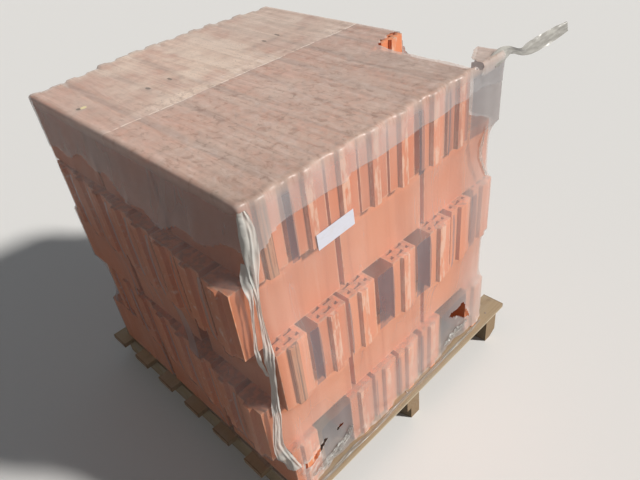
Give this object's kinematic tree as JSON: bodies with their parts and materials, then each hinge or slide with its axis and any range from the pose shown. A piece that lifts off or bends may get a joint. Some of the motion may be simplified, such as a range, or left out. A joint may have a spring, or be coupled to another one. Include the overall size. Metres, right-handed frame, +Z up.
{
  "type": "pallet of bricks",
  "caption": "Stack of perforated tongue-and-groove clay bricks on a wooden pallet, under a torn, milky film hood with one corner brick taken out.",
  "frame": {"origin": "on the underside of the pallet's middle bearer, under the middle of the deck", "axes": "+Z up; +X along the deck boards; -Y is the face where the forks enter and the top course's brick ends show"},
  "size_m": [1.5774, 1.2764, 1.3364],
  "materials": {
    "brick": "fired, rough",
    "deck_wood": "sawn, weathered",
    "bearer_wood": "sawn, weathered",
    "film": "milky, translucent, dusty",
    "paper": "matt"
  },
  "bodies": {
    "root": {"bricks_course_1": "brick", "bricks_course_2": "brick", "bricks_course_3": "brick", "bricks_course_4": "brick", "bricks_course_5": "brick", "deck_board_1": "deck_wood", "deck_board_2": "deck_wood", "deck_board_3": "deck_wood", "deck_board_4": "deck_wood", "deck_board_5": "deck_wood", "deck_board_6": "deck_wood", "deck_board_7": "deck_wood", "bearer_left": "bearer_wood", "bearer_middle": "bearer_wood", "bearer_right": "bearer_wood", "film_hood": "film", "film_tail": "film", "label": "paper"}
  },
  "joints": []
}
